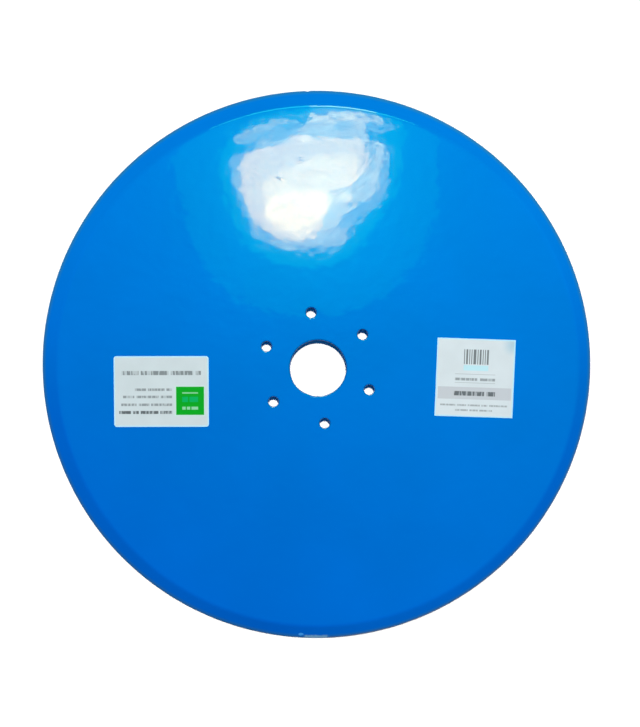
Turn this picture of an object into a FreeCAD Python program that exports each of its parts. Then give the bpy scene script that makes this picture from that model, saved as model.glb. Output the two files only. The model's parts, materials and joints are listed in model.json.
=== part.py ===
import FreeCAD, Part
import math
import os
import Sketcher

# Seed drill disc: one flat round steel plate with a central bore, a ring of bolt holes and
# a rim that is bevelled on one side down to a narrow land, which cuts the seed slot. Two
# paper stickers lie on the bevelled side.
#
# Millimetres, +Z up. The disc lies on its flat back, and the origin is the centre of the
# bore at the back face. The bevelled face looks up.

# Each row is a name, a value and what it measures. Lengths in mm, angles in degrees
# counter-clockwise from +X.
SIZES = (
    ("disc_diameter", 350.0, "blade, over the cutting rim"),
    ("disc_thickness", 4.0, "blade, back face to bevelled face"),
    ("bevel_width", 9.5, "bevel, measured along the face from the rim"),
    ("rim_land", 1.0, "thickness left at the rim, below the bevel"),
    ("crease_radius", 7.0, "rounding where the bevel leaves the face"),
    ("rim_rounding", 0.2, "rounding of both corners of the rim's land"),
    ("bore_diameter", 36.0, "central bore, clears the hub's spigot"),
    ("bolt_circle", 71.0, "pitch circle of the bolt holes"),
    ("bolt_hole_diameter", 6.4, "bolt hole, clears a 6 mm bolt"),
    ("bolt_count", 6, "number of bolt holes"),
    ("bolt_turn", 97.0, "direction of the first bolt hole from the centre"),
    ("edge_break", 0.2, "chamfer that takes the burr off the bore and the holes"),
    ("sticker_thickness", 0.15, "paper sticker with its glue"),
    ("square_side", 50.0, "square sticker, both sides"),
    ("square_direction", -3.6, "direction of the square sticker from the centre"),
    ("square_turn", -2.0, "how far the square sticker is stuck on askew"),
    ("rounded_width", 60.0, "rounded sticker, across"),
    ("rounded_height", 45.0, "rounded sticker, up"),
    ("rounded_corner", 1.7, "corner radius of the rounded sticker"),
    ("rounded_direction", 188.4, "direction of the rounded sticker from the centre"),
    ("rounded_turn", 0.0, "how far the rounded sticker is stuck on askew"),
)
VALUE = {name: value for name, value, meaning in SIZES}

BLADE_RADIUS = "sizes.disc_diameter / 2"
FACE_RADIUS = "(sizes.disc_diameter / 2 - sizes.bevel_width)"
# Both stickers are centred halfway between the bolt circle and the bevel.
STICKER_RING = "(sizes.bolt_circle / 2 + " + FACE_RADIUS + ") / 2"

UP = FreeCAD.Vector(0, 0, 1)
START, END, CENTRE = 1, 2, 3
SKETCH_AXES = -1


def add_sheet(doc):
    """Write the driving dimensions into the document's spreadsheet."""
    sheet = doc.addObject("Spreadsheet::Sheet", "sizes")
    for row, (name, value, meaning) in enumerate(SIZES, start=1):
        sheet.set("A%d" % row, name)
        sheet.set("B%d" % row, str(value))
        sheet.setAlias("B%d" % row, name)
        sheet.set("C%d" % row, meaning)
    doc.recompute()


def add_body(doc, label):
    """Add an empty body for one sub-part."""
    body = doc.addObject("PartDesign::Body", label)
    body.Label = label
    return body


def origin_feature(body, role):
    """Return a body's own origin plane or axis."""
    for feature in body.Origin.OriginFeatures:
        if feature.Role == role:
            return feature
    raise ValueError("no origin feature " + role)


def add_sketch(body, name, plane, height=None):
    """Add a sketch on one of the body's origin planes, raised by a height where given."""
    sketch = body.newObject("Sketcher::SketchObject", name)
    sketch.AttachmentSupport = [(origin_feature(body, plane), "")]
    sketch.MapMode = "FlatFace"
    if height:
        sketch.setExpression(".AttachmentOffset.Base.z", height)
    return sketch


def constrain(sketch, *arguments):
    """Add one geometric constraint to a sketch."""
    sketch.addConstraint(Sketcher.Constraint(*arguments))


def dimension(sketch, name, expression, kind, *arguments):
    """Add a named dimension and bind it to the spreadsheet.

    The last argument is the value that the sketch is drawn with.
    """
    index = sketch.addConstraint(Sketcher.Constraint(kind, *arguments))
    sketch.renameConstraint(index, name)
    sketch.setExpression("Constraints." + name, expression)


def draw_loop(sketch, corners):
    """Draw a closed loop of straight lines, joined end to start."""
    count = len(corners)
    for index in range(count):
        start = FreeCAD.Vector(corners[index][0], corners[index][1], 0)
        end = FreeCAD.Vector(corners[(index + 1) % count][0], corners[(index + 1) % count][1], 0)
        sketch.addGeometry(Part.LineSegment(start, end), False)
    for index in range(count):
        constrain(sketch, "Coincident", index, END, (index + 1) % count, START)


def circle_edges(shape, radius, height):
    """Name the edges of a shape that are circles of one radius at one height."""
    names = []
    for number, edge in enumerate(shape.Edges, start=1):
        if not isinstance(edge.Curve, Part.Circle):
            continue
        if math.isclose(edge.Curve.Radius, radius, abs_tol=1e-4):
            if math.isclose(edge.Curve.Center.z, height, abs_tol=1e-4):
                names.append("Edge%d" % number)
    return names


def sketch_blade_section(body):
    """Draw the blade's half section, from the axis to the rim."""
    radius = VALUE["disc_diameter"] / 2
    thick = VALUE["disc_thickness"]
    land = VALUE["rim_land"]
    crease = radius - VALUE["bevel_width"]
    sketch = add_sketch(body, "blade_section", "XZ_Plane")
    draw_loop(sketch, [(0, 0), (radius, 0), (radius, land), (crease, thick), (0, thick)])
    back, rim, bevel, face, axis = range(5)
    constrain(sketch, "Coincident", back, START, SKETCH_AXES, START)
    constrain(sketch, "Horizontal", back)
    constrain(sketch, "Vertical", rim)
    constrain(sketch, "Horizontal", face)
    constrain(sketch, "Vertical", axis)
    dimension(sketch, "blade_radius", BLADE_RADIUS, "DistanceX", back, START, back, END, radius)
    dimension(sketch, "land", "sizes.rim_land", "DistanceY", rim, START, rim, END, land)
    dimension(sketch, "bevel", "sizes.bevel_width",
              "DistanceX", bevel, END, bevel, START, radius - crease)
    dimension(sketch, "thickness", "sizes.disc_thickness",
              "DistanceY", axis, END, axis, START, thick)
    return sketch


def round_crease(doc, body, turned):
    """Blend the bevel into the face, as the press and the paint leave it."""
    doc.recompute()
    rounding = body.newObject("PartDesign::Fillet", "crease_rounding")
    crease = VALUE["disc_diameter"] / 2 - VALUE["bevel_width"]
    rounding.Base = (turned, circle_edges(turned.Shape, crease, VALUE["disc_thickness"]))
    rounding.setExpression("Radius", "sizes.crease_radius")
    return rounding


def round_rim(doc, body, creased):
    """Round both corners of the land that the bevel leaves at the rim."""
    doc.recompute()
    rounding = body.newObject("PartDesign::Fillet", "rim_corner_rounding")
    radius = VALUE["disc_diameter"] / 2
    corners = circle_edges(creased.Shape, radius, 0)
    corners += circle_edges(creased.Shape, radius, VALUE["rim_land"])
    rounding.Base = (creased, corners)
    rounding.setExpression("Radius", "min(sizes.rim_rounding; sizes.rim_land / 4)")


def cut_bore(body):
    """Cut the central bore down through the blade from its face."""
    sketch = add_sketch(body, "bore_circle", "XY_Plane", "sizes.disc_thickness")
    radius = VALUE["bore_diameter"] / 2
    sketch.addGeometry(Part.Circle(FreeCAD.Vector(0, 0, 0), UP, radius), False)
    constrain(sketch, "Coincident", 0, CENTRE, SKETCH_AXES, START)
    dimension(sketch, "bore", "sizes.bore_diameter", "Diameter", 0, 2 * radius)
    bore = body.newObject("PartDesign::Pocket", "bore")
    bore.Profile = sketch
    bore.Type = "ThroughAll"


def drill_bolt_holes(doc, body):
    """Drill the first bolt hole and repeat it around the bolt circle."""
    sketch = add_sketch(body, "bolt_hole_circle", "XY_Plane", "sizes.disc_thickness")
    turn = math.radians(VALUE["bolt_turn"])
    pitch_radius = VALUE["bolt_circle"] / 2
    centre = FreeCAD.Vector(pitch_radius * math.cos(turn), pitch_radius * math.sin(turn), 0)
    sketch.addGeometry(Part.Circle(centre, UP, VALUE["bolt_hole_diameter"] / 2), False)
    sketch.addGeometry(Part.LineSegment(FreeCAD.Vector(0, 0, 0), centre), True)
    hole_circle, spoke = range(2)
    constrain(sketch, "Coincident", spoke, START, SKETCH_AXES, START)
    constrain(sketch, "Coincident", spoke, END, hole_circle, CENTRE)
    dimension(sketch, "pitch_radius", "sizes.bolt_circle / 2", "Distance", spoke, pitch_radius)
    dimension(sketch, "turn", "sizes.bolt_turn", "Angle", SKETCH_AXES, START, spoke, START, turn)
    dimension(sketch, "hole", "sizes.bolt_hole_diameter",
              "Diameter", hole_circle, VALUE["bolt_hole_diameter"])
    doc.recompute()

    hole = body.newObject("PartDesign::Hole", "bolt_hole")
    hole.Profile = sketch
    doc.recompute()
    hole.Threaded = False
    hole.ThreadType = "None"
    hole.DepthType = "ThroughAll"
    hole.setExpression("Diameter", "sizes.bolt_hole_diameter")
    doc.recompute()

    ring = body.newObject("PartDesign::PolarPattern", "bolt_hole_ring")
    ring.Originals = [hole]
    ring.Axis = (origin_feature(body, "Z_Axis"), [""])
    ring.Angle = 360
    ring.setExpression("Occurrences", "sizes.bolt_count")
    body.Tip = ring
    return ring


def break_edges(doc, body, drilled):
    """Chamfer the bore and the bolt holes lightly on both sides."""
    doc.recompute()
    chamfer = body.newObject("PartDesign::Chamfer", "hole_edge_break")
    edges = []
    for radius in (VALUE["bore_diameter"] / 2, VALUE["bolt_hole_diameter"] / 2):
        for height in (0, VALUE["disc_thickness"]):
            edges += circle_edges(drilled.Shape, radius, height)
    chamfer.Base = (drilled, edges)
    chamfer.setExpression("Size", "sizes.edge_break")
    body.Tip = chamfer


def make_blade(doc):
    """Make the steel blade: turned section, bore, bolt holes and broken edges."""
    body = add_body(doc, "disc_blade")
    section = sketch_blade_section(body)
    turned = body.newObject("PartDesign::Revolution", "blade_plate")
    turned.Profile = section
    turned.ReferenceAxis = (section, ["V_Axis"])
    turned.Angle = 360
    creased = round_crease(doc, body, turned)
    round_rim(doc, body, creased)
    cut_bore(body)
    drilled = drill_bolt_holes(doc, body)
    break_edges(doc, body, drilled)
    return body


def make_sticker(doc, label, width, height, corner=None):
    """Make a flat sticker, centred on its own origin, with its glued side down."""
    body = add_body(doc, label)
    sketch = add_sketch(body, label + "_outline", "XY_Plane")
    half_width = VALUE[width] / 2
    half_height = VALUE[height] / 2
    draw_loop(sketch, [(-half_width, -half_height), (half_width, -half_height),
                       (half_width, half_height), (-half_width, half_height)])
    bottom, right, top, left = range(4)
    constrain(sketch, "Horizontal", bottom)
    constrain(sketch, "Vertical", right)
    constrain(sketch, "Horizontal", top)
    constrain(sketch, "Vertical", left)
    constrain(sketch, "Symmetric", bottom, START, top, START, SKETCH_AXES, START)
    dimension(sketch, "width", "sizes." + width, "DistanceX", bottom, START, bottom, END,
              2 * half_width)
    dimension(sketch, "height", "sizes." + height, "DistanceY", right, START, right, END,
              2 * half_height)
    paper = body.newObject("PartDesign::Pad", label + "_paper")
    paper.Profile = sketch
    paper.setExpression("Length", "sizes.sticker_thickness")
    if corner:
        doc.recompute()
        upright = ["Edge%d" % number for number, edge in enumerate(paper.Shape.Edges, start=1)
                   if abs(edge.tangentAt(edge.FirstParameter).z) > 0.99]
        rounding = body.newObject("PartDesign::Fillet", label + "_corners")
        rounding.Base = (paper, upright)
        rounding.setExpression("Radius", "sizes." + corner)
    return body


def stick_on_face(body, direction, turn):
    """Lay a sticker on the blade's face at the sticker ring, turned a little askew."""
    body.Placement = FreeCAD.Placement(FreeCAD.Vector(0, 0, 0), FreeCAD.Rotation(UP, 1))
    body.setExpression(".Placement.Base.x", STICKER_RING + " * cos(sizes." + direction + ")")
    body.setExpression(".Placement.Base.y", STICKER_RING + " * sin(sizes." + direction + ")")
    body.setExpression(".Placement.Base.z", "sizes.disc_thickness")
    body.setExpression(".Placement.Rotation.Angle", "sizes." + turn)


def export(doc, bodies):
    """Check every feature and every sub-part, then write each one to its STEP file."""
    for item in doc.Objects:
        if "Invalid" in item.State or "Error" in item.State:
            raise RuntimeError("feature failed: " + item.Name)
    for body in bodies:
        if body.Shape.isNull() or not body.Shape.isValid():
            raise RuntimeError("bad shape: " + body.Label)
        box = body.Shape.optimalBoundingBox()
        print("%s: %d solid, %.1f mm3, x %.2f to %.2f, y %.2f to %.2f, z %.2f to %.2f" % (
            body.Label, len(body.Shape.Solids), body.Shape.Volume,
            box.XMin, box.XMax, box.YMin, box.YMax, box.ZMin, box.ZMax))
    os.makedirs("parts", exist_ok=True)
    for body in bodies:
        body.Shape.exportStep(os.path.join("parts", body.Label + ".step"))


def main():
    """Build the disc and its stickers and export them."""
    doc = FreeCAD.newDocument("seed_drill_disc")
    add_sheet(doc)
    blade = make_blade(doc)
    square = make_sticker(doc, "square_label", "square_side", "square_side")
    stick_on_face(square, "square_direction", "square_turn")
    rounded = make_sticker(doc, "rounded_label", "rounded_width", "rounded_height",
                           "rounded_corner")
    stick_on_face(rounded, "rounded_direction", "rounded_turn")
    doc.recompute()
    export(doc, [blade, square, rounded])


main()
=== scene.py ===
"""Looks of the seed drill disc: glossy blue paint over steel, two paper stickers and studio light.

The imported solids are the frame. The blade and both stickers are modelled again round them with
rounded edges, small wear and printed fields, and each piece stands where its solid stands.
Lengths are in metres, directions in degrees where a name says so.
"""

import json
import logging
import math
from dataclasses import dataclass
from enum import Enum

import bmesh
import bpy
from mathutils import Euler, Matrix, Vector


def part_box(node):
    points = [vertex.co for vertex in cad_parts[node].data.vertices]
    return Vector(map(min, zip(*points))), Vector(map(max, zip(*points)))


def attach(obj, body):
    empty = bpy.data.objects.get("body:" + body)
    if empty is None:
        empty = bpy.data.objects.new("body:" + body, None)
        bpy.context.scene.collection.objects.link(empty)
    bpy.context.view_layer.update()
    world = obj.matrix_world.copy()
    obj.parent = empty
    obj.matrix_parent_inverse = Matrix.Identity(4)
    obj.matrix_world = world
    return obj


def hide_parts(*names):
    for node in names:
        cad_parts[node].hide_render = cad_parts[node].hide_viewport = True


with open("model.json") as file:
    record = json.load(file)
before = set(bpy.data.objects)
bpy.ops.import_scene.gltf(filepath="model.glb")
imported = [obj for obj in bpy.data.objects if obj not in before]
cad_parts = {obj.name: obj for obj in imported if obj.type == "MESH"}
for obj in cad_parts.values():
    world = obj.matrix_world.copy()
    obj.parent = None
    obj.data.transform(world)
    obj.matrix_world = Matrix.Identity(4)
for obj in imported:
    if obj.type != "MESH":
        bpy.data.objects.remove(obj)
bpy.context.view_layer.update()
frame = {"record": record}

LOG = logging.getLogger("seed_drill_disc")
MM = 0.001
FULL_TURN = 2 * math.pi
SAME_PLACE = 1e-6
AXIS = Vector((0, 0, 0))
WHITE = (1.0, 1.0, 1.0)
CLOUDY = (0.3, 0.7)
RICH_DETAIL = 3.0

Pair = tuple[float, float]
Triple = Colour = tuple[float, float, float]
Shape = bmesh.types.BMesh
Socket = bpy.types.NodeSocket


class Slot(Enum):
    """Material slots of the record."""

    PAINT = "blue_paint"
    PAPER = "sticker_paper"


@dataclass(frozen=True, eq=False)
class Wire:
    """A shader value, from one output of a node, that Python's operators can work with."""

    sheet: "NodeSheet"
    socket: Socket

    def _join(self, operation: str, first: object, second: object) -> "Wire":
        """Return what a Math node makes of two wires or numbers."""
        node = self.sheet.add("ShaderNodeMath", {"operation": operation}, {0: first, 1: second})
        return Wire(self.sheet, node.outputs[0])

    def __add__(self, other: object) -> "Wire":
        """Return self + other."""
        return self._join("ADD", self, other)

    __radd__ = __add__

    def __sub__(self, other: object) -> "Wire":
        """Return self - other."""
        return self._join("SUBTRACT", self, other)

    def __rsub__(self, other: object) -> "Wire":
        """Return other - self."""
        return self._join("SUBTRACT", other, self)

    def __mul__(self, other: object) -> "Wire":
        """Return self * other."""
        return self._join("MULTIPLY", self, other)

    __rmul__ = __mul__

    def __truediv__(self, other: object) -> "Wire":
        """Return self / other."""
        return self._join("DIVIDE", self, other)

    def __rtruediv__(self, other: object) -> "Wire":
        """Return other / self."""
        return self._join("DIVIDE", other, self)

    def __pow__(self, other: object) -> "Wire":
        """Return self to the power of other."""
        return self._join("POWER", self, other)

    def __abs__(self) -> "Wire":
        """Return the value without its sign."""
        return self._join("ABSOLUTE", self, 0.0)

    def at_least(self, other: object) -> "Wire":
        """Return the larger of two values."""
        return self._join("MAXIMUM", self, other)

    def at_most(self, other: object) -> "Wire":
        """Return the smaller of two values."""
        return self._join("MINIMUM", self, other)

    def ramp(self, start: float, end: float) -> "Wire":
        """Return 0 before start, 1 after end and a smooth step between them.

        Args:
            start: Value at which the step begins.
            end: Value at which the step ends; below start for a falling step.

        Returns:
            The step, from 0 to 1.
        """
        low, high = min(start, end), max(start, end)
        span = {"From Min": low, "From Max": high, "To Min": float(start > end), "To Max": float(start < end)}
        settings = {"interpolation_type": "SMOOTHSTEP", "clamp": True}
        node = self.sheet.add("ShaderNodeMapRange", settings, {"Value": self, **span})
        return Wire(self.sheet, node.outputs["Result"])


class NodeSheet:
    """A node tree that is filled by expressions."""

    def __init__(self, tree: bpy.types.NodeTree) -> None:
        """Empty the tree and keep it."""
        self.tree = tree
        tree.nodes.clear()

    def add(self, kind: str, settings: dict | None = None, inputs: dict | None = None) -> bpy.types.Node:
        """Add one node.

        Args:
            kind: Type of the node.
            settings: Properties of the node, which are set before its sockets.
            inputs: Sockets by name or number, each with a wire, a socket or a constant.

        Returns:
            The node.
        """
        node = self.tree.nodes.new(kind)
        for name, value in (settings or {}).items():
            setattr(node, name, value)
        for key, value in (inputs or {}).items():
            if isinstance(value, Wire):
                self.tree.links.new(value.socket, node.inputs[key])
            elif isinstance(value, Socket):
                self.tree.links.new(value, node.inputs[key])
            else:
                node.inputs[key].default_value = value
        return node

    def wire(self, node: bpy.types.Node, output: str | int = 0) -> Wire:
        """Return one output of a node as a wire."""
        return Wire(self, node.outputs[output])

    def mix(self, share: object, first: object, second: object) -> Socket:
        """Return a colour between two others.

        Args:
            share: How much of the second colour shows.
            first: Colour or socket where the share is 0.
            second: Colour or socket where the share is 1.

        Returns:
            The mixed colour.
        """
        first, second = ((*end, 1.0) if isinstance(end, tuple) else end for end in (first, second))
        node = self.add("ShaderNodeMix", {"data_type": "RGBA"}, {0: share, 6: first, 7: second})
        return node.outputs[2]

    def scaled(self, vector: Colour | Socket, amount: object) -> Socket:
        """Return a colour or vector times a value."""
        settings = {"operation": "SCALE"}
        return self.add("ShaderNodeVectorMath", settings, {0: vector, "Scale": amount}).outputs[0]

    def summed(self, first: Socket, *others: Socket) -> Socket:
        """Return the sum of several colours.

        Args:
            first: One of the colours.
            others: The rest of them.

        Returns:
            The sum.
        """
        for other in others:
            first = self.add("ShaderNodeVectorMath", {"operation": "ADD"}, {0: first, 1: other}).outputs[0]
        return first

    def place(self, centre: Vector | tuple = (0, 0, 0), turn: float = 0.0,
              stretch: float = 1.0) -> Socket:
        """Return Object coordinates that are moved to a centre and turned about Z.

        Args:
            centre: Point that becomes the origin.
            turn: Direction of the new X axis, in radians.
            stretch: How much longer than wide a pattern comes out along the new X axis.

        Returns:
            The coordinates.
        """
        coordinates = self.add("ShaderNodeTexCoord")
        inputs = {"Vector": coordinates.outputs["Object"], "Location": tuple(centre),
                  "Rotation": (0, 0, turn), "Scale": (stretch, 1, 1)}
        return self.add("ShaderNodeMapping", {"vector_type": "TEXTURE"}, inputs).outputs[0]

    def axes(self, vector: Socket) -> tuple[Wire, Wire, Wire]:
        """Return the three parts of a vector."""
        node = self.add("ShaderNodeSeparateXYZ", {}, {0: vector})
        return self.wire(node, 0), self.wire(node, 1), self.wire(node, 2)

    def noise(self, vector: Socket, size: float, detail: float = 2.0, rough: float = 0.5) -> Wire:
        """Return a cloudy pattern from 0 to 1, with clouds of a size and finer layers on them."""
        inputs = {"Vector": vector, "Scale": 1 / size, "Detail": detail, "Roughness": rough}
        return self.wire(self.add("ShaderNodeTexNoise", {}, inputs), 0)

    def bump(self, height: Wire, depth: float, below: Socket | None = None) -> Socket:
        """Return a normal for a height pattern.

        Args:
            height: Pattern from 0 to 1.
            depth: Real height of the pattern, in metres.
            below: Normal that the pattern lies on.

        Returns:
            The normal.
        """
        inputs = {"Strength": 1.0, "Distance": depth, "Height": height}
        if below is not None:
            inputs["Normal"] = below
        return self.add("ShaderNodeBump", {}, inputs).outputs[0]

    def finish(self, surface: Socket, output: str = "ShaderNodeOutputMaterial") -> None:
        """Join a shader to the tree's output."""
        self.add(output, {}, {"Surface": surface})


class Ground:
    """Coordinates of a surface, whole and axis by axis."""

    def __init__(self, sheet: NodeSheet, here: Socket) -> None:
        """Keep the coordinates and divide them."""
        self.sheet, self.here = sheet, here
        self.across, self.along, _ = sheet.axes(here)

    def gap(self, centre: Vector, flatness: float = 1.0) -> Wire:
        """Return the distance from an upright axis.

        Args:
            centre: Point on the axis.
            flatness: How much faster the distance grows along Y than along X.

        Returns:
            The distance, in the unit of the coordinates.
        """
        right, up = self.across - centre.x, (self.along - centre.y) * flatness
        return (right * right + up * up) ** 0.5

    def grain(self, size: float, width: float) -> Wire:
        """Return a noise of one size that swings half a width up and down."""
        return (self.sheet.noise(self.here, size) - 0.5) * width


def new_material(name: str) -> tuple[bpy.types.Material, NodeSheet]:
    """Make a material.

    Args:
        name: Name of the material.

    Returns:
        The material and its empty node sheet.
    """
    material = bpy.data.materials.new(name)
    material.use_nodes = True
    return material, NodeSheet(material.node_tree)


def new_object(name: str, mesh: Shape, material: bpy.types.Material,
               smooth: bool = True) -> bpy.types.Object:
    """Make an object at the origin from a bmesh.

    Args:
        name: Name of the piece.
        mesh: Shape, which is freed here.
        material: Finish of the whole piece.
        smooth: Whether its faces are shaded smooth.

    Returns:
        The object, in the scene.
    """
    for face in mesh.faces:
        face.smooth = smooth
    data = bpy.data.meshes.new(name)
    mesh.to_mesh(data)
    mesh.free()
    data.materials.append(material)
    thing = bpy.data.objects.new(name, data)
    bpy.context.scene.collection.objects.link(thing)
    return thing


def round_off(mesh: Shape, parts: list, reach: float, facets: int, affect: str = "EDGES") -> None:
    """Round some edges, or with "VERTICES" some corners, of a shape."""
    bmesh.ops.bevel(mesh, geom=parts, offset=reach, offset_type="OFFSET", profile_type="SUPERELLIPSE",
                    segments=facets, profile=0.5, affect=affect, clamp_overlap=False, material=-1)


@dataclass(frozen=True)
class PhotoView:
    """Where the photograph was taken from, fitted to the rim, the bore and the bolt holes."""

    width: float = 640.0
    height: float = 727.0
    focal_pixels: float = 1096.4
    position: Triple = (-13.27 * MM, 42.27 * MM, 700.0 * MM)
    tilt_x: float = -3.2245
    tilt_y: float = -1.1992
    sensor: float = 36.0
    nearest: float = 10 * MM
    furthest: float = 50.0

    def rotation(self) -> Euler:
        """Return the camera's turn, with the picture's top towards +Y."""
        return Euler((math.radians(self.tilt_x), math.radians(self.tilt_y), 0.0), "XYZ")

    def on_plane(self, pixel: Pair, height: float) -> Vector:
        """Return the point that a pixel shows on a level plane.

        Args:
            pixel: Place in the photograph, from its top left corner.
            height: Height of the plane.

        Returns:
            The point.
        """
        across, up = pixel[0] - self.width / 2, self.height / 2 - pixel[1]
        ray = self.rotation().to_matrix() @ Vector((across, up, -self.focal_pixels))
        eye = Vector(self.position)
        return eye + ray * ((height - eye.z) / ray.z)

    def mirrored(self, pixel: Pair, mirror: float, height: float) -> Vector:
        """Return the point above the disc whose reflection a pixel shows.

        Args:
            pixel: Place in the photograph, from its top left corner.
            mirror: Height of the level face that reflects.
            height: Height of the point, above the face.

        Returns:
            The point.
        """
        face = self.on_plane(pixel, mirror)
        ray = face - Vector(self.position)
        return face + Vector((ray.x, ray.y, -ray.z)) * ((height - mirror) / -ray.z)

    def make_camera(self) -> bpy.types.Object:
        """Make the camera the scene's own.

        Returns:
            The camera.
        """
        data = bpy.data.cameras.new("photo_camera")
        data.sensor_fit = "AUTO"
        data.sensor_width = self.sensor
        data.lens = self.focal_pixels / self.height * self.sensor
        data.clip_start = self.nearest
        data.clip_end = self.furthest
        camera = bpy.data.objects.new("photo_camera", data)
        camera.location = self.position
        camera.rotation_euler = self.rotation()
        bpy.context.scene.collection.objects.link(camera)
        bpy.context.scene.camera = camera
        return camera


VIEW = PhotoView()


@dataclass(frozen=True)
class Ripple:
    """Unevenness of a surface: the width and depth of its waves, and how much finer ones they carry."""

    size: float
    depth: float
    detail: float
    rough: float = 0.5

    def waves(self, ground: Ground) -> Wire:
        """Return the pattern of the waves, from 0 to 1."""
        return ground.sheet.noise(ground.here, self.size, self.detail, self.rough)


@dataclass(frozen=True)
class BluePaint:
    """Glossy sprayed enamel with orange peel, painted shade round the lips of the holes and at the rim, a
    painted glint on the lower bevel and a stretch of the rim scraped bare.

    Each of squiggles holds a pixel of the photograph and a share of the depth.
    """

    colour: Colour = (0.0, 0.1354, 0.649)
    roughness: float = 0.045
    specular: float = 0.5
    peel: Ripple = Ripple(8 * MM, 60e-6, 1.5, 0.45)
    fine: Ripple = Ripple(2.6 * MM, 6e-6, 1.0)
    cloud_size: float = 70 * MM
    cloud_share: float = 0.03
    squiggles: tuple[Triple, ...] = ((301.0, 161.0, 0.85), (279.5, 176.5, 1.7))
    squiggle_reach: float = 4.2 * MM
    squiggle_depth: float = 48e-6
    curl_size: float = 2.6 * MM
    curl_width: float = 0.07
    # Painted shade: a darker ring of blue round the lips of the holes.
    lip_shade_colour: Colour = (0.0, 0.085, 0.33)
    lip_shade_width: float = 1.3 * MM
    lip_shade_share: float = 0.8
    # Painted shade: a darker band of blue at the rim's edge.
    rim_shade_colour: Colour = (0.02, 0.14, 0.33)
    rim_shade_width: float = 3.0 * MM
    rim_shade_share: float = 0.85
    # Painted glint: a small paler blue spot on the lower bevel.
    glint_colour: Colour = (0.06, 0.36, 0.88)
    bare_colour: Colour = (0.17, 0.36, 0.55)
    # Place and size of the painted glint.
    glint_spot: Pair = (300.8, 634.2)
    glint_height: float = 2 * MM
    glint_radius: float = 1.9 * MM
    glint_core: float = 0.55
    glint_flatness: float = 1.6
    glint_grain: float = 1.2 * MM
    bare_from: Pair = (304.4, 636.4)
    bare_to: Pair = (327.4, 637.0)
    bare_width: float = 2.2 * MM
    bare_core: float = 0.4
    bare_grain: float = 2 * MM
    bare_roughness: float = 0.3

    def material(self, blade: "DiscBlade") -> bpy.types.Material:
        """Return the paint for a blade.

        Args:
            blade: Blade whose sizes place the lips and the worn spots.

        Returns:
            The material.
        """
        material, sheet = new_material("blue_enamel")
        ground = Ground(sheet, sheet.place())
        clouds = sheet.noise(ground.here, self.cloud_size, RICH_DETAIL)
        deep = tuple(part * (1 - self.cloud_share) for part in self.colour)
        pale = tuple(part * (1 + self.cloud_share) for part in self.colour)
        colour = sheet.mix(clouds.ramp(*CLOUDY), deep, pale)
        # Painted shade: a darker ring of blue round the lips of the bore and the bolt holes.
        colour = sheet.mix(self._lip_shade_mask(ground, blade), colour, self.lip_shade_colour)
        # Painted shade: the blue darkens in a band towards the rim's edge.
        rim_shade = ground.gap(AXIS).ramp(blade.radius - self.rim_shade_width, blade.radius)
        colour = sheet.mix(rim_shade * self.rim_shade_share, colour, self.rim_shade_colour)
        # Painted glint: a small spot of paler blue on the lower bevel.
        colour = sheet.mix(self._glint_mask(ground), colour, self.glint_colour)
        bare = self._bare_mask(ground, blade)
        colour = sheet.mix(bare, colour, self.bare_colour)
        normal = sheet.bump(self.peel.waves(ground), self.peel.depth)
        normal = sheet.bump(self._squiggles(ground, blade), self.squiggle_depth, normal)
        normal = sheet.bump(self.fine.waves(ground), self.fine.depth, normal)
        inputs = {
            "Base Color": colour,
            "Roughness": bare * self.bare_roughness + self.roughness,
            "Specular IOR Level": self.specular,
            "Normal": normal,
        }
        sheet.finish(sheet.add("ShaderNodeBsdfPrincipled", {}, inputs).outputs[0])
        return material

    def _lip_shade_mask(self, ground: Ground, blade: "DiscBlade") -> Wire:
        """Return how much painted shade darkens the paint at the lips of the holes.

        Args:
            ground: Coordinates on the blade.
            blade: Blade with the holes.

        Returns:
            The share of the painted shade's colour.
        """
        gap = ground.gap(AXIS) - blade.bore
        for centre in blade.bolt_centres():
            gap = gap.at_most(ground.gap(centre) - blade.bolt_radius)
        return gap.ramp(self.lip_shade_width, 0.0) * self.lip_shade_share

    def _squiggles(self, ground: Ground, blade: "DiscBlade") -> Wire:
        """Return the height of two small curled dents in the paint.

        Args:
            ground: Coordinates on the blade.
            blade: Blade whose face has the dents.

        Returns:
            The height, as a share of the dents' depth.
        """
        near = None
        for x, y, share in self.squiggles:
            spot = ground.gap(VIEW.on_plane((x, y), blade.top)).ramp(self.squiggle_reach, 0.0) * share
            near = spot if near is None else near + spot
        curl = ground.sheet.noise(ground.here, self.curl_size, 0.0)
        return near * (1.0 - abs(curl - 0.5).ramp(0.0, self.curl_width))

    def _glint_mask(self, ground: Ground) -> Wire:
        """Return where the painted glint, a small pale spot on the lower bevel, is.

        Args:
            ground: Coordinates on the blade.

        Returns:
            1 on the glint and 0 off it.
        """
        gap = ground.gap(VIEW.on_plane(self.glint_spot, self.glint_height), self.glint_flatness)
        ragged = gap + ground.grain(self.glint_grain, self.glint_radius)
        return ragged.ramp(self.glint_radius, self.glint_core * self.glint_radius)

    def _bare_mask(self, ground: Ground, blade: "DiscBlade") -> Wire:
        """Return where the edge of the rim is scraped bare.

        Args:
            ground: Coordinates on the blade.
            blade: Blade with the rim.

        Returns:
            1 on the scraped stretch and 0 off it.
        """
        ragged = ground.gap(AXIS) + ground.grain(self.bare_grain, self.bare_width)
        edge = ragged.ramp(blade.radius - self.bare_width, blade.radius - self.bare_core * self.bare_width)
        start, end = VIEW.on_plane(self.bare_from, blade.land).x, VIEW.on_plane(self.bare_to, blade.land).x
        inside = ground.across.ramp(start - MM, start + MM) * ground.across.ramp(end + MM, end - MM)
        return edge * inside * ground.along.ramp(0.0, -MM)


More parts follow.
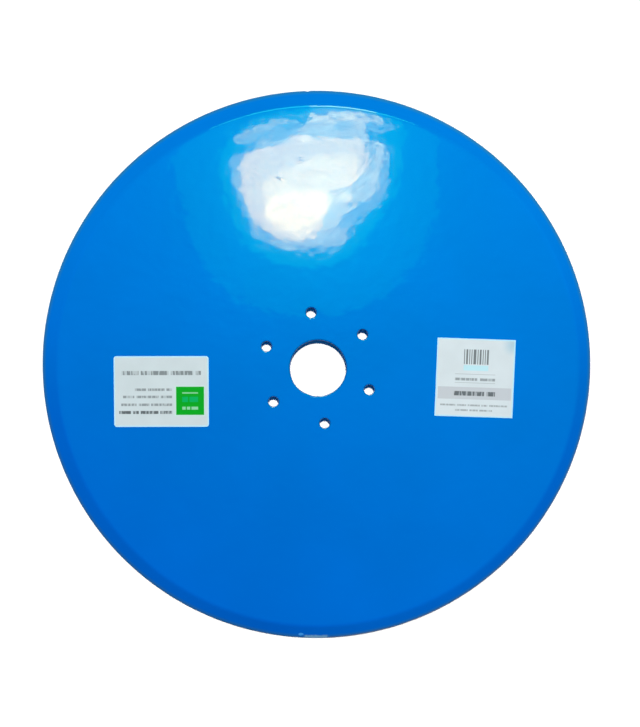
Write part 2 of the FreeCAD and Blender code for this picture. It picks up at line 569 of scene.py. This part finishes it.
@dataclass
class DiscBlade:
    """The bevelled blade with its bore and bolt holes, as one painted shell.

    Each of bore_sags holds a direction and a width in degrees, and a depth.
    """

    low: Vector
    high: Vector
    bore: float
    bolt_radius: float
    bolt_ring: float
    bolt_count: int
    first_bolt_deg: float = 97.0
    bevel_width: float = 8.9 * MM
    bevel_shift: Pair = (0.6 * MM, -0.5 * MM)
    land: float = 1.0 * MM
    crease_radius: float = 7.0 * MM
    crease_guard: float = 2.5 * MM
    crease_facets: int = 8
    corner_radius: float = 0.2 * MM
    rim_guard: float = 0.8 * MM
    corner_facets: int = 4
    hub_margin: float = 4.0
    hole_rounding: float = 0.5 * MM
    hole_guard: float = 1.0 * MM
    collar: float = 2.0 * MM
    steps: int = 1080
    bore_steps: int = 240
    bolt_steps: int = 72
    nick: Pair = (307.6, 91.0)
    nick_reach: float = 1.5 * MM
    nick_depth: float = 0.55 * MM
    bore_sags: tuple[Triple, ...] = (
        (90.0, 60.0, 0.20 * MM), (185.0, 20.0, 0.30 * MM), (-113.0, 9.0, 0.25 * MM), (-90.5, 1.6, 0.35 * MM),
    )
    paint: BluePaint = BluePaint()

    @property
    def radius(self) -> float:
        """Radius of the rim."""
        return self.high.x

    @property
    def top(self) -> float:
        """Height of the bevelled face."""
        return self.high.z

    @property
    def slope(self) -> float:
        """Angle of the bevel against the face, in radians."""
        return math.atan2(self.top - self.land, self.bevel_width)

    @property
    def hub_ring(self) -> float:
        """Radius of the ring inside which the bolt holes lie, some of their radii from it."""
        return self.bolt_ring + self.hub_margin * self.bolt_radius

    def bevel_height(self, radius: float) -> float:
        """Return the height of the bevel at a radius."""
        return self.land + (self.radius - radius) * math.tan(self.slope)

    def bolt_centres(self) -> list[Vector]:
        """Return where the bolt holes are.

        Returns:
            A point on the axis of each.
        """
        turns = (math.radians(self.first_bolt_deg) + FULL_TURN * number / self.bolt_count
                 for number in range(self.bolt_count))
        return [Vector((math.cos(turn), math.sin(turn), 0)) * self.bolt_ring for turn in turns]

    def build(self) -> bpy.types.Object:
        """Model the blade.

        Returns:
            The painted blade.
        """
        mesh = bmesh.new()
        for centre in self.bolt_centres():
            self._spin_hole(mesh, centre, self.bolt_radius, self.bolt_steps)
        self._spin_hole(mesh, AXIS, self.bore, self.bore_steps)
        self._spin_plate(mesh)
        self._fill_hub(mesh, self.top, 1.0)
        self._fill_hub(mesh, self.low.z, -1.0)
        bmesh.ops.recalc_face_normals(mesh, faces=mesh.faces)
        self._wear_rim(mesh)
        self._sag_bore(mesh)
        return new_object("painted_blade", mesh, self.paint.material(self))

    def _spin_plate(self, mesh: Shape) -> None:
        """Spin the section from the hub ring to the rim and round its corners.

        Args:
            mesh: Shape to add to.
        """
        crease = self.radius - self.bevel_width
        slope_start, slope_end = crease + self.crease_guard, self.radius - self.rim_guard
        section = (
            (self.hub_ring, self.top),
            (crease - self.crease_guard, self.top),
            (crease, self.top),
            (slope_start, self.bevel_height(slope_start)),
            (slope_end, self.bevel_height(slope_end)),
            (self.radius, self.land),
            (self.radius, self.low.z),
            (slope_end, self.low.z),
            (self.hub_ring, self.low.z),
        )
        self._spin_section(mesh, section, AXIS, self.steps)
        crease_reach = self.crease_radius * math.tan(self.slope / 2)
        corner_reach = self.corner_radius * math.tan((math.pi / 2 - self.slope) / 2)
        self._round_ring(mesh, crease, self.top, crease_reach, self.crease_facets)
        self._shift_crease(mesh, crease)
        self._round_ring(mesh, self.radius, self.land, corner_reach, self.corner_facets)
        self._round_ring(mesh, self.radius, self.low.z, self.corner_radius, self.corner_facets)

    def _shift_crease(self, mesh: Shape, crease: float) -> None:
        """Move the crease a little off the axis, as the bevel is ground wider on one side.

        Args:
            mesh: Shape with the crease.
            crease: Radius of the crease.
        """
        ring = [point for point in mesh.verts if point.co.z > self.land + SAME_PLACE
                and abs(math.hypot(point.co.x, point.co.y) - crease) < self.crease_guard + SAME_PLACE]
        bmesh.ops.translate(mesh, vec=(*self.bevel_shift, 0.0), verts=ring)

    def _spin_hole(self, mesh: Shape, centre: Vector, radius: float, steps: int) -> None:
        """Add the wall of one hole with a flat collar round both of its ends.

        Args:
            mesh: Shape to add to.
            centre: Axis of the hole.
            radius: Radius of the hole.
            steps: Number of facets round the hole.
        """
        section = (
            (radius + self.collar, self.top),
            (radius + self.hole_guard, self.top),
            (radius, self.top),
            (radius, self.top - self.hole_guard),
            (radius, self.low.z + self.hole_guard),
            (radius, self.low.z),
            (radius + self.hole_guard, self.low.z),
            (radius + self.collar, self.low.z),
        )
        self._spin_section(mesh, section, centre, steps)
        for height in (self.top, self.low.z):
            self._round_ring(mesh, radius, height, self.hole_rounding, self.corner_facets, centre)

    @staticmethod
    def _spin_section(mesh: Shape, section: tuple, centre: Vector, steps: int) -> None:
        """Spin a section of (radius, height) points about an upright axis.

        Args:
            mesh: Shape to add to.
            section: Points of the section, in order.
            centre: Point on the axis.
            steps: Number of steps in the full turn.
        """
        points = [mesh.verts.new((centre.x + radius, centre.y, height)) for radius, height in section]
        lines = [mesh.edges.new(pair) for pair in zip(points, points[1:])]
        bmesh.ops.spin(mesh, geom=points + lines, cent=centre, axis=(0, 0, 1), dvec=(0, 0, 0),
                       angle=FULL_TURN, steps=steps, use_merge=True, use_duplicate=False)

    @staticmethod
    def _round_ring(mesh: Shape, radius: float, height: float, reach: float,
                    facets: int, centre: Vector = AXIS) -> None:
        """Round the ring of edges at one radius and height.

        Args:
            mesh: Shape that holds the ring.
            radius: Radius of the ring.
            height: Height of the ring.
            reach: Width of the rounding on each side.
            facets: Number of facets across the rounding.
            centre: Point on the ring's axis.
        """
        def on_ring(point: bmesh.types.BMVert) -> bool:
            """Tell whether a point lies on the ring."""
            gap = math.hypot(point.co.x - centre.x, point.co.y - centre.y) - radius
            return abs(gap) < SAME_PLACE and abs(point.co.z - height) < SAME_PLACE

        ring = {point for point in mesh.verts if on_ring(point)}
        edges = [edge for edge in mesh.edges if edge.verts[0] in ring and edge.verts[1] in ring]
        round_off(mesh, edges, reach, facets)

    @staticmethod
    def _fill_hub(mesh: Shape, height: float, side: float) -> None:
        """Close the flat between the hub ring and the holes on one face.

        Args:
            mesh: Shape with the ring and the holes' collars.
            height: Height of the face.
            side: 1 for a face that looks up and -1 for one that looks down.
        """
        edges = [edge for edge in mesh.edges if edge.is_boundary
                 and all(abs(point.co.z - height) < SAME_PLACE for point in edge.verts)]
        bmesh.ops.triangle_fill(mesh, use_beauty=True, use_dissolve=False, edges=edges, normal=(0, 0, side))

    @staticmethod
    def _press(point: bmesh.types.BMVert, push: float) -> None:
        """Move a point towards the axis.

        Args:
            point: Point of the blade.
            push: How far it moves.
        """
        shrink = 1 - push / math.hypot(point.co.x, point.co.y)
        point.co.x *= shrink
        point.co.y *= shrink

    def _wear_rim(self, mesh: Shape) -> None:
        """Press the small nick into the rim at the top.

        Args:
            mesh: Shape of the whole blade.
        """
        nick = VIEW.on_plane(self.nick, self.land)
        for point in mesh.verts:
            gap = math.hypot(point.co.x - nick.x, point.co.y - nick.y)
            if gap < self.nick_reach:
                self._press(point, self.nick_depth * (1 - gap / self.nick_reach))

    def _sag_bore(self, mesh: Shape) -> None:
        """Let a little paint stand at the top, the left and the lower left of the bore's edge.

        Args:
            mesh: Shape of the whole blade.
        """
        wall = self.bore + self.hole_rounding + SAME_PLACE
        for point in mesh.verts:
            if math.hypot(point.co.x, point.co.y) < wall:
                angle = math.degrees(math.atan2(point.co.y, point.co.x))
                self._press(point, sum(depth * math.exp(-(((angle - at + 180) % 360 - 180) / width) ** 2)
                                       for at, width, depth in self.bore_sags))


@dataclass(frozen=True)
class PrintLine:
    """One row of plain printed bars, or one field, in millimetres from the sticker's centre."""

    left: float
    right: float
    level: float
    height: float
    ink: float
    words: tuple[float, ...] = (1.0,)
    gap: float = 0.9
    broken: float = 0.0
    colour: Colour = (0.06, 0.065, 0.075)

    def spans(self) -> list[Pair]:
        """Divide the row into its bars.

        Returns:
            The start and end of each bar.
        """
        room = self.right - self.left - self.gap * (len(self.words) - 1)
        start, spans = self.left, []
        for share in self.words:
            width = room * share / sum(self.words)
            spans.append((start, start + width))
            start += width + self.gap
        return spans


@dataclass(frozen=True)
class PaperPrint:
    """Off-white paper with a plain print of bars and colour fields, painted shade along its waves, and at
    most one round spot of painted shade.

    The half size, the margin, the place and radius of the spot of painted shade, the size of the strokes and
    the softness of the print's edges are in millimetres.
    """

    name: str
    half_size: Pair
    paper: Colour
    lines: tuple[PrintLine, ...]
    # Painted shade: how much darker the paper is where its waves lie.
    wave_shade_share: float = 0.95
    margin: float = 0.8
    margin_fade: Pair = (1.4, 0.5)
    margin_colour: Colour = (0.5, 0.84, 1.0)
    # Painted shade: one round darker spot, and its colour.
    shade_spot: Triple = (0.0, 0.0, 0.0)
    shade_spot_colour: Colour = (0.45, 0.63, 0.73)
    stroke_size: float = 1.1
    stroke_stretch: float = 8.0
    stroke_edge: Pair = (0.38, 0.52)
    softness: float = 0.25
    fibre: Ripple = Ripple(0.6 * MM, 12e-6, RICH_DETAIL)
    wave: Ripple = Ripple(18 * MM, 120e-6, 2.0)
    roughness: float = 0.6
    specular: float = 0.25

    def material(self, centre: Vector, turn: float) -> bpy.types.Material:
        """Return the printed paper.

        Args:
            centre: Middle of the sticker.
            turn: Direction of the print's lines, in radians.

        Returns:
            The material.
        """
        material, sheet = new_material(self.name)
        paper = Ground(sheet, sheet.place(centre, turn))
        ruled = Ground(sheet, sheet.scaled(paper.here, 1 / MM))
        waves = self.wave.waves(paper)
        # Painted shade: the paper darkens where its long waves lie, in the same pattern as their bump.
        wave_shade = tuple(part * self.wave_shade_share for part in self.paper)
        colour = sheet.mix(waves.ramp(*CLOUDY), self.paper, wave_shade)
        # Painted shade: one round darker spot on the paper, as under a curled corner.
        x, y, reach = self.shade_spot
        if reach:
            shaded = ruled.gap(Vector((x, y, 0))).ramp(reach, 0.0)
            colour = sheet.mix(shaded, colour, self.shade_spot_colour)
        inside = (abs(ruled.across) - self.half_size[0]).at_least(abs(ruled.along) - self.half_size[1])
        edge = inside.ramp(*(-share * self.margin for share in self.margin_fade))
        colour = sheet.mix(edge, colour, self.margin_colour)
        upright = sheet.place(centre, turn + math.pi / 2, self.stroke_stretch)
        strokes = sheet.noise(upright, self.stroke_size * MM, 0.0).ramp(*self.stroke_edge)
        for line in self.lines:
            worn = self._row(ruled, line) * (1 - (1 - strokes) * line.broken) * line.ink
            colour = sheet.mix(worn, colour, line.colour)
        normal = sheet.bump(waves, self.wave.depth)
        normal = sheet.bump(self.fibre.waves(paper), self.fibre.depth, normal)
        inputs = {"Base Color": colour, "Roughness": self.roughness, "Specular IOR Level": self.specular,
                  "Normal": normal}
        sheet.finish(sheet.add("ShaderNodeBsdfPrincipled", {}, inputs).outputs[0])
        return material

    def _row(self, ruled: Ground, line: PrintLine) -> Wire:
        """Return where the bars of one row are.

        Args:
            ruled: Coordinates on the paper, in millimetres.
            line: The row.

        Returns:
            1 on the bars and 0 off them.
        """
        bars = None
        for start, end in line.spans():
            bar = self._between(ruled.across, start, end)
            bars = bar if bars is None else bars + bar
        return bars * self._between(ruled.along, line.level - line.height / 2, line.level + line.height / 2)

    def _between(self, place: Wire, start: float, end: float) -> Wire:
        """Return 1 from a start to an end, with the print's soft edges."""
        half = self.softness / 2
        return place.ramp(start - half, start + half) * place.ramp(end + half, end - half)


@dataclass
class Sticker:
    """A paper sticker that lies flat on the blade's face, in place of its solid."""

    name: str
    centre: Vector
    width: float
    height: float
    turn_deg: float
    printing: PaperPrint
    corner: float = 0.0
    corner_facets: int = 6
    paper: float = 0.12 * MM
    edge: float = 0.03 * MM
    edge_facets: int = 2
    sharp_angle: float = 1.0

    def build(self) -> bpy.types.Object:
        """Model the sticker.

        Returns:
            The printed sticker.
        """
        mesh = bmesh.new()
        bmesh.ops.create_grid(mesh, x_segments=1, y_segments=1, size=0.5)
        bmesh.ops.scale(mesh, vec=(self.width, self.height, 1), verts=mesh.verts)
        if self.corner:
            round_off(mesh, mesh.verts[:], self.corner, self.corner_facets, "VERTICES")
        grown = bmesh.ops.extrude_face_region(mesh, geom=mesh.faces[:])
        raised = [part for part in grown["geom"] if isinstance(part, bmesh.types.BMVert)]
        bmesh.ops.translate(mesh, vec=(0, 0, self.paper), verts=raised)
        bmesh.ops.recalc_face_normals(mesh, faces=mesh.faces)
        rim = [edge for edge in mesh.edges if all(point in raised for point in edge.verts)
               and edge.calc_face_angle(0) > self.sharp_angle]
        round_off(mesh, rim, self.edge, self.edge_facets)
        turn = math.radians(self.turn_deg)
        bmesh.ops.transform(mesh, matrix=Matrix.Translation(self.centre) @ Matrix.Rotation(turn, 4, "Z"),
                            verts=mesh.verts)
        return new_object(self.name, mesh, self.printing.material(self.centre, turn), smooth=False)


@dataclass(frozen=True)
class Mottle:
    """Spots in a light: how much they darken it, their size, and how long and which way they are drawn."""

    share: float
    size: float = 9 * MM
    stretch: float = 1.0
    streak_deg: float = 0.0


@dataclass(frozen=True)
class LightPatch:
    """One bright part of the light, outlined in the photograph's pixels or, at the rear, in millimetres."""

    name: str
    strength: float
    outline: tuple[Pair, ...]
    soft_pixels: float = 2.0
    mottle: Mottle | None = None
    colour: Colour = (1.0, 0.7, 0.17)


SOFTBOX = (
    LightPatch("halo", 0.95, soft_pixels=42.0, colour=(0.0, 1.0, 0.2), outline=(
        (172, 166), (180, 136), (207, 112), (242, 93), (294, 81), (385, 77), (434, 104), (441, 155),
        (437, 217), (421, 257), (388, 295), (340, 316), (272, 314), (232, 297), (205, 268), (187, 225),
    )),
    LightPatch("rim_glow", 1.9, soft_pixels=13.0, colour=(0.0, 1.0, 0.25), outline=(
        (218, 158), (223, 146), (232, 132), (262, 118), (300, 108), (318, 101), (348, 99), (382, 106),
        (403, 118), (406, 132), (401, 150), (400, 172), (396, 194), (384, 215), (367, 236), (353, 257),
        (328, 268), (298, 267), (272, 261), (246, 245), (231, 217), (221, 190),
    )),
    LightPatch("skirt", 4.3, soft_pixels=5.0, mottle=Mottle(0.35, 4 * MM), outline=(
        (228.5, 160), (238, 154), (249, 148), (264, 142), (280, 138), (294, 134), (303, 126), (312, 116),
        (340, 114.5), (362, 116), (366, 131), (373, 142), (385, 144), (391, 151), (390, 161), (389, 172),
        (389, 184), (385, 193), (381, 201), (373, 210), (365, 217.5), (355, 223.5), (349, 231), (346, 240),
        (338, 247), (324, 253.5), (302, 253), (280, 248.5), (263, 242), (252, 232), (245, 220), (240, 206),
        (234.5, 192), (232, 178),
    )),
    LightPatch("body", 11.8, soft_pixels=5.0, colour=(1.0, 0.54, 0.05), outline=(
        (240, 165), (248, 154), (262, 148), (280, 143), (294, 138), (304, 137), (330, 139), (363, 141),
        (367, 151), (367, 167), (358, 175), (352, 184), (345, 189.5), (327, 193), (327, 208), (322, 228),
        (314, 236), (300, 240), (282, 240), (267, 235), (257, 225), (250.5, 212), (245, 198), (242, 188),
        (240, 176),
    )),
    LightPatch("gleam", 4.9, soft_pixels=12.0, outline=(
        (260, 184), (288, 167), (320, 155), (354, 156), (361, 167), (355, 179), (344, 190), (333, 203),
        (322, 218), (306, 230), (284, 230), (268, 218),
    )),
    LightPatch("core", 5.2, soft_pixels=6.0, outline=(
        (262, 203), (272, 196), (300, 190), (329, 187), (331, 206), (323, 223), (304, 235), (282, 233),
        (265, 220),
    )),
    LightPatch("upper", 7.0, mottle=Mottle(0.7, 3.5 * MM, 6.0), outline=(
        (297, 137), (303, 127), (311, 117), (340, 115.5), (365, 116.5), (367, 130), (371, 142), (340, 143),
        (300, 143),
    )),
    LightPatch("brow", 6.3, soft_pixels=1.5, outline=(
        (306, 121), (312, 115), (340, 113.2), (366, 115.2), (384, 119), (382, 122), (366, 121),
        (340, 119.5), (316, 122),
    )),
    LightPatch("wing", 7.8, soft_pixels=5.0, mottle=Mottle(0.45, 5 * MM, 2.0, 80.0), outline=(
        (356, 173), (369, 168), (372, 152), (370, 142), (381, 144), (388, 153), (381, 164), (379, 178),
        (376, 192), (365, 202), (344, 203), (336, 196), (350, 184),
    )),
    LightPatch("shade", 10.0, soft_pixels=6.0, mottle=Mottle(0.5, 4 * MM, 2.5, 50.0), outline=(
        (325, 195), (344, 194), (354, 197), (352, 206), (343, 216), (332, 228), (320, 234), (318, 230),
        (325, 212),
    )),
    LightPatch("tail", 4.3, soft_pixels=4.0, mottle=Mottle(0.2), outline=(
        (268, 240), (282, 244), (302, 238), (320, 231), (340, 226), (353, 226), (350, 238), (338, 246),
        (310, 248), (284, 248),
    )),
    LightPatch("haze", 5.2, soft_pixels=3.0, mottle=Mottle(0.75, 3 * MM, 6.0, 19.0), outline=(
        (237, 139), (246, 131), (262, 124.5), (282, 119.5), (297, 117.5), (304, 121), (301, 131),
        (284, 141), (262, 146), (250, 145.5), (241, 144),
    )),
    LightPatch("band_edge", 7.0, soft_pixels=1.2, mottle=Mottle(0.5, 3 * MM, 4.0, 19.0), outline=(
        (233, 137), (246, 131.5), (262, 125), (280, 118.7), (295, 116.2), (297, 120), (281, 122.5),
        (263, 128), (246, 134.8), (236, 140),
    )),
    LightPatch("veil", 2.1, soft_pixels=1.8, mottle=Mottle(0.25), outline=(
        (314, 113), (319, 105.5), (345, 104.5), (370, 107), (387, 115), (380, 120), (340, 116),
    )),
    LightPatch("tip", 3.9, soft_pixels=2.0, mottle=Mottle(0.4), outline=(
        (364, 117), (381, 118.5), (397, 126.5), (394, 129), (383, 128), (374, 132), (366, 134),
    )),
)

REAR_STRIPS = (
    LightPatch("rear_strip", 9.5, soft_pixels=20.0, colour=(0.03, 1.0, 0.4), outline=(
        (-136, 288), (-62, 268), (62, 262), (136, 286), (141, 306), (72, 337), (-62, 335), (-136, 312),
    )),
    LightPatch("rear_middle", 9.5, soft_pixels=14.0, colour=(0.75, 0.9, 0.5), outline=(
        (2, 258), (78, 261), (80, 333), (-2, 336),
    )),
)


@dataclass
class Studio:
    """Floor, key light, softbox and the light of the room."""

    floor_reach: float = 4.0
    floor_steps: int = 64
    floor_level: float = -0.15 * MM
    floor_white: float = 1.12
    floor_bounce: float = 0.35
    key_tilt_deg: float = 31.3
    key_turn_deg: float = -5.0
    key_size_deg: float = 7.0
    key_place: Triple = (0.0, 1.0, 2.0)
    key_colour: Colour = (0.997, 0.95, 0.85)
    room: Colour = (0.003, 0.05, 0.15)
    softbox_height: float = 400 * MM
    softbox_step: float = 1.0 * MM
    softbox_pixel: float = 1.0 * MM
    mottle_rough: float = 0.6
    mottle_edge: Pair = (0.42, 0.6)
    glow_pixel: Pair = (313.0, 176.0)
    glow_core: float = 0.003
    glow_lobe: Colour = (0.0, 0.0127, 0.0135)
    glow_level: Colour = (0.0, 1.129, 1.27)
    glow_side: Colour = (0.0, 1.81, 2.7)
    glow_side_reach: float = 0.45
    green_rise: Colour = (0.0, 4.59, 0.0)
    green_rise_reach: float = 0.5
    blue_rise: Colour = (0.0, 0.0, 13.7)
    blue_rise_reach: float = 0.2
    horizon: Pair = (0.2, 0.46)

    def build(self, mirror: float) -> None:
        """Make the floor and the lights.

        Args:
            mirror: Height of the blade's face, in which the softbox shows.
        """
        bpy.context.scene.view_settings.view_transform = "Standard"
        self._floor()
        self._key()
        for number, patch in enumerate(SOFTBOX):
            level = self.softbox_height + number * self.softbox_step
            self._softbox(patch, [VIEW.mirrored(pixel, mirror, level) for pixel in patch.outline])
        for number, patch in enumerate(REAR_STRIPS):
            level = self.softbox_height - (number + 1) * self.softbox_step
            self._softbox(patch, [Vector((x * MM, y * MM, level)) for x, y in patch.outline])
        self._world(mirror)

    def _floor(self) -> None:
        """Lay a white floor that keeps the blade's shadow."""
        mesh = bmesh.new()
        bmesh.ops.create_circle(mesh, cap_ends=True, segments=self.floor_steps, radius=self.floor_reach)
        bmesh.ops.translate(mesh, vec=(0, 0, self.floor_level), verts=mesh.verts)
        material, sheet = new_material("white_floor")
        path = sheet.add("ShaderNodeLightPath")
        seen = sheet.wire(path, "Is Camera Ray").at_least(sheet.wire(path, "Is Glossy Ray"))
        seen = seen.at_least(sheet.wire(path, "Is Transmission Ray"))
        white = seen * (self.floor_white - self.floor_bounce) + self.floor_bounce
        colour = sheet.scaled(WHITE, white)
        sheet.finish(sheet.add("ShaderNodeBsdfDiffuse", {}, {"Color": colour}).outputs[0])
        new_object("floor", mesh, material)

    def _key(self) -> None:
        """Hang the key light behind the top of the disc, at a plain level."""
        data = bpy.data.lights.new("key_light", "SUN")
        data.color = self.key_colour
        data.energy = math.pi / math.cos(math.radians(self.key_tilt_deg))
        data.angle = math.radians(self.key_size_deg)
        key = bpy.data.objects.new("key_light", data)
        key.rotation_euler = Euler((-math.radians(self.key_tilt_deg), 0, math.radians(self.key_turn_deg)))
        key.location = self.key_place
        key.visible_glossy = False
        bpy.context.scene.collection.objects.link(key)

    def _softbox(self, patch: LightPatch, corners: list[Vector]) -> None:
        """Hang one bright part of the softbox, which only reflections see.

        Args:
            patch: The part.
            corners: Its corners, in order.
        """
        mesh = bmesh.new()
        edge = mesh.verts.layers.float.new("edge")
        middle = mesh.faces.new([mesh.verts.new(corner) for corner in corners])
        bmesh.ops.inset_region(mesh, faces=[middle], thickness=patch.soft_pixels * self.softbox_pixel,
                               use_boundary=True, use_even_offset=True)
        for point in middle.verts:
            point[edge] = 1.0
        material, sheet = new_material("softbox_" + patch.name)
        level = sheet.wire(sheet.add("ShaderNodeAttribute", {"attribute_name": "edge"}), "Fac")
        mottle = patch.mottle
        if mottle:
            here = sheet.place(turn=math.radians(mottle.streak_deg), stretch=mottle.stretch)
            spots = sheet.noise(here, mottle.size, RICH_DETAIL, self.mottle_rough)
            level = level * (1 - mottle.share * spots.ramp(*self.mottle_edge))
        emission = sheet.add("ShaderNodeEmission", {"label": patch.name},
                             {"Color": sheet.scaled(patch.colour, level), "Strength": patch.strength})
        clear = sheet.add("ShaderNodeBsdfTransparent")
        both = sheet.add("ShaderNodeAddShader", {}, {0: clear.outputs[0], 1: emission.outputs[0]})
        sheet.finish(both.outputs[0])
        panel = new_object("softbox_" + patch.name, mesh, material)
        for ray in ("camera", "diffuse", "shadow", "transmission"):
            setattr(panel, "visible_" + ray, False)

    def _world(self, mirror: float) -> None:
        """Give the room its light: white behind the disc and a dim, graded ceiling for reflections.

        Args:
            mirror: Height of the blade's face, in which the ceiling shows.
        """
        world = bpy.data.worlds.new("room")
        bpy.context.scene.world = world
        world.use_nodes = True
        sheet = NodeSheet(world.node_tree)
        look = sheet.add("ShaderNodeTexCoord").outputs["Generated"]
        x, y, z = sheet.axes(look)
        towards = VIEW.mirrored(self.glow_pixel, mirror, 1.0) - VIEW.on_plane(self.glow_pixel, mirror)
        inputs = {0: look, 1: tuple(towards.normalized())}
        along = sheet.wire(sheet.add("ShaderNodeVectorMath", {"operation": "DOT_PRODUCT"}, inputs), "Value")
        graded = sheet.summed(
            sheet.scaled(self.glow_lobe, 1.0 / (1.0 + self.glow_core - along)),
            sheet.scaled(self.glow_level, z),
            sheet.scaled(self.glow_side, self._eased(x, self.glow_side_reach) * z),
            sheet.scaled(self.green_rise, self._eased(y, self.green_rise_reach) * z),
            sheet.scaled(self.blue_rise, self._eased(y, self.blue_rise_reach) * z),
        )
        graded = sheet.add("ShaderNodeVectorMath", {"operation": "MAXIMUM"}, {0: graded, 1: (0.0, 0.0, 0.0)})
        gloss = sheet.mix(z.ramp(*self.horizon), WHITE, graded.outputs[0])
        path = sheet.add("ShaderNodeLightPath")
        shiny = sheet.wire(path, "Is Glossy Ray").at_least(sheet.wire(path, "Is Transmission Ray"))
        colour = sheet.mix(shiny, self.room, gloss)
        colour = sheet.mix(sheet.wire(path, "Is Camera Ray"), colour, WHITE)
        back = sheet.add("ShaderNodeBackground", {}, {"Color": colour, "Strength": 1.0})
        sheet.finish(back.outputs[0], "ShaderNodeOutputWorld")

    @staticmethod
    def _eased(slope: Wire, reach: float) -> Wire:
        """Return a share that grows evenly with a slope up to about a reach and then eases off."""
        return slope / (1.0 + slope * slope / reach ** 2)


def square_print() -> PaperPrint:
    """Lay out the square sticker: code bars, a grey band and rows of strokes.

    Returns:
        The print.
    """
    lines = (
        PrintLine(-23.5, 23.5, -9.9, 7.8, 1.0, colour=(0.565, 0.605, 0.65)),
        PrintLine(-7.6, 8.2, 6.3, 3.4, 0.75, colour=(0.47, 0.83, 0.93)),
        PrintLine(-7.6, 8.2, 13.4, 9.5, 0.8, (1, 2, 1, 1, 3, 1, 2, 1, 1, 2), 0.8),
        PrintLine(-13.0, 12.9, 2.3, 0.35, 0.35),
        PrintLine(-12.8, 12.8, -1.0, 1.7, 0.6, (3, 2), 1.6, 0.6),
        PrintLine(-13.0, 12.9, -3.2, 0.35, 0.35),
        PrintLine(-13.1, 13.2, -10.1, 2.8, 0.85, (7, 2), 1.5, 0.6),
        PrintLine(-21.6, 21.4, -17.6, 1.1, 0.5, (5, 3, 4, 2, 6), 1.0, 0.6),
        PrintLine(-12.0, 11.7, -20.8, 1.1, 0.5, (3, 2, 3), 1.0, 0.6),
    )
    # The square sticker has a spot of painted shade at its top right corner.
    return PaperPrint("square_paper", (25.0, 25.0), (0.70, 0.783, 0.827), lines, shade_spot=(23.5, 21.5, 8.5))


def rounded_print() -> PaperPrint:
    """Lay out the rounded sticker: rows of strokes and a green field with pale bars.

    Returns:
        The print.
    """
    pale, teal = (0.45, 0.85, 0.62), (0.0, 0.42, 0.13)
    lines = (
        PrintLine(-24.9, 25.1, 11.8, 2.6, 0.7, (3, 5, 4, 1), 1.4, 0.7),
        PrintLine(-16.7, 6.7, 1.2, 1.6, 0.6, (2, 3, 1), 1.2, 0.6),
        PrintLine(-24.3, 6.7, -3.4, 1.6, 0.6, (2, 4, 2), 1.2, 0.6),
        PrintLine(-25.5, 6.7, -8.4, 1.6, 0.6, (3, 2, 4), 1.2, 0.6),
        PrintLine(-26.8, 6.7, -13.3, 1.9, 0.9, (2, 1, 3, 2), 1.2, 0.5),
        PrintLine(8.6, 27.7, -5.9, 19.4, 0.35, colour=(0.5, 0.93, 0.72)),
        PrintLine(9.3, 27.0, -5.9, 18.0, 1.0, colour=(0.0, 0.345, 0.012)),
        PrintLine(13.2, 23.2, -0.9, 0.9, 0.5, colour=pale),
        PrintLine(13.2, 23.2, -5.0, 3.4, 0.8, (2, 3), 1.0, colour=teal),
        PrintLine(13.2, 23.2, -10.6, 1.9, 0.6, (1, 1, 2), 0.8, colour=pale),
    )
    return PaperPrint("rounded_paper", (30.0, 22.5), (0.63, 0.72, 0.755), lines)


def mount(name: str) -> dict:
    """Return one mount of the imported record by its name."""
    return next(entry for entry in frame["record"]["mounts"] if entry["name"] == name)


def make_blade() -> bpy.types.Object:
    """Build the blade from the frame's box and mounts.

    Returns:
        The painted blade.
    """
    low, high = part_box("disc_blade")
    bolts = mount("hub_bolts")["dims"]
    blade = DiscBlade(low, high, mount("bore")["dims"]["r_mm"] * MM, bolts["hole_r_mm"] * MM,
                      bolts["pcd_mm"] / 2 * MM, bolts["count"])
    thing = blade.build()
    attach(thing, "root")
    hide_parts("disc_blade")
    LOG.info("%s: %d faces", thing.name, len(thing.data.polygons))
    return thing


def make_sticker(node: str, name: str, width: float, height: float, turn_deg: float,
                 printing: PaperPrint, corner: float = 0.0) -> bpy.types.Object:
    """Build one sticker in the place of its solid.

    Args:
        node: Name of the solid.
        name: Name of the piece.
        width: Size across.
        height: Size up.
        turn_deg: How far it is stuck on askew.
        printing: Paper and print.
        corner: Radius of its corners.

    Returns:
        The sticker.
    """
    low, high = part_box(node)
    centre = Vector(((low.x + high.x) / 2, (low.y + high.y) / 2, low.z))
    thing = Sticker(name, centre, width, height, turn_deg, printing, corner).build()
    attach(thing, "root")
    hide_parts(node)
    LOG.info("%s: %d faces", thing.name, len(thing.data.polygons))
    return thing


def main() -> None:
    """Build the scene: camera, blade, stickers and studio."""
    logging.basicConfig(level=logging.INFO, format="%(message)s")
    VIEW.make_camera()
    make_blade()
    make_sticker("square_label", "square_sticker", 50 * MM, 50 * MM, -2.0, square_print())
    make_sticker("rounded_label", "rounded_sticker", 60 * MM, 45 * MM, 0.0, rounded_print(), 1.7 * MM)
    Studio().build(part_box("disc_blade")[1].z)


if __name__ == "__main__":
    main()
